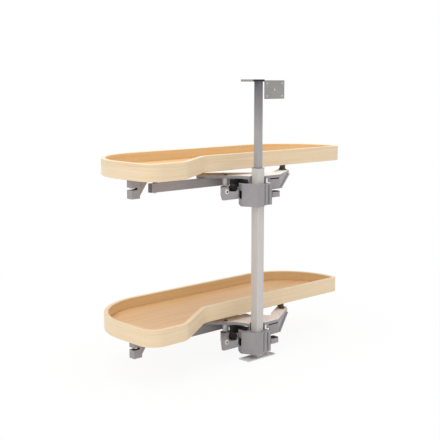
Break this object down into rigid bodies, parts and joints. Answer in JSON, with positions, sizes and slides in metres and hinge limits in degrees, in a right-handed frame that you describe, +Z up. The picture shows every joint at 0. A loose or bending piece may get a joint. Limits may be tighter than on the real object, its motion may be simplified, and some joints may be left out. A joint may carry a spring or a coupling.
{
  "type": "swing-out corner carousel fitting",
  "caption": "Two-tier swing-out fitting for a blind corner cabinet: a telescopic square post with clamped hubs and wing-shaped wooden trays.",
  "frame": {"origin": "the post axis on the underside of the base plate, which is the cabinet floor", "axes": "+X along the straight front edge of the closed trays to the right, +Y from the post towards the trays, +Z up the post"},
  "size_m": [0.835, 0.3325, 0.7695],
  "materials": {
    "rim_wood": "clear satin lacquer",
    "floor_board": "wood grain foil",
    "tube_steel": "bright, light grey",
    "galvanised_steel": "dull zinc",
    "hub_casting": "satin grey",
    "carrier_paint": "smooth near white",
    "rubber": "matt black",
    "black_plastic": "matt black",
    "nylon": "matt dark brown",
    "screw_steel": "bright zinc",
    "dark_screw": "dark zinc"
  },
  "bodies": {
    "post": {"base_plate": "galvanised_steel", "post_outer_tube": "tube_steel", "post_bush": "nylon"},
    "extension": {"post_inner_tube": "tube_steel", "inner_guide": "nylon", "top_plate": "galvanised_steel", "top_side_plate": "galvanised_steel"},
    "lower_hub_unit": {"lower_hub": "hub_casting", "lower_clamp_screws": "screw_steel", "lower_stop_bumper": "rubber", "lower_washer": "nylon", "lower_housing": "hub_casting", "lower_damper": "rubber", "lower_housing_screw": "screw_steel", "lower_bearing_block": "black_plastic"},
    "lower_plunger_unit": {"lower_plunger": "nylon"},
    "lower_tray": {"lower_carrier_plate": "carrier_paint", "lower_turning_collar": "hub_casting", "lower_gusset": "hub_casting", "lower_gusset_strip": "rubber", "lower_catch_pin": "screw_steel", "lower_pin_screw": "dark_screw", "lower_rail": "hub_casting", "lower_rail_plugs": "nylon", "lower_rail_screws": "dark_screw", "lower_rail_foot": "nylon", "lower_spacers": "nylon", "lower_tray_screws": "screw_steel", "lower_rim": "rim_wood", "lower_floor": "floor_board", "lower_lobe_bracket": "hub_casting"},
    "upper_hub_unit": {"upper_hub": "hub_casting", "upper_clamp_screws": "screw_steel", "upper_stop_bumper": "rubber", "upper_washer": "nylon", "upper_housing": "hub_casting", "upper_damper": "rubber", "upper_housing_screw": "screw_steel", "upper_bearing_block": "black_plastic"},
    "upper_plunger_unit": {"upper_plunger": "nylon"},
    "upper_tray": {"upper_carrier_plate": "carrier_paint", "upper_turning_collar": "hub_casting", "upper_gusset": "hub_casting", "upper_gusset_strip": "rubber", "upper_catch_pin": "screw_steel", "upper_pin_screw": "dark_screw", "upper_rail": "hub_casting", "upper_rail_plugs": "nylon", "upper_rail_screws": "dark_screw", "upper_rail_foot": "nylon", "upper_spacers": "nylon", "upper_tray_screws": "screw_steel", "upper_rim": "rim_wood", "upper_floor": "floor_board", "upper_lobe_bracket": "hub_casting"}
  },
  "joints": [
    {"name": "post_extension", "type": "slide", "parent": "post", "child": "extension", "axis": [0, 0, 1], "range_m": [-0.06, 0.06]},
    {"name": "lower_tray_height", "type": "slide", "parent": "post", "child": "lower_hub_unit", "axis": [0, 0, 1], "range_m": [-0.01, 0.1]},
    {"name": "lower_tray_swing", "type": "hinge", "parent": "lower_hub_unit", "child": "lower_tray", "pos_m": [0, 0, 0.073], "axis": [0, 0, -1], "range_deg": [0, 90]},
    {"name": "lower_plunger_slide", "type": "slide", "parent": "lower_hub_unit", "child": "lower_plunger_unit", "axis": [0.8716, 0.4903, 0], "range_m": [0, 0.012]},
    {"name": "upper_tray_height", "type": "slide", "parent": "post", "child": "upper_hub_unit", "axis": [0, 0, 1], "range_m": [-0.12, 0.02]},
    {"name": "upper_tray_swing", "type": "hinge", "parent": "upper_hub_unit", "child": "upper_tray", "pos_m": [0, 0, 0.486], "axis": [0, 0, -1], "range_deg": [0, 90]},
    {"name": "upper_plunger_slide", "type": "slide", "parent": "upper_hub_unit", "child": "upper_plunger_unit", "axis": [0.8716, 0.4903, 0], "range_m": [0, 0.012]}
  ],
  "couplings": [
    {"joint": "lower_plunger_slide", "follows": "lower_tray_swing", "m_per_rad": 0.00763},
    {"joint": "upper_plunger_slide", "follows": "upper_tray_swing", "m_per_rad": 0.00763}
  ]
}
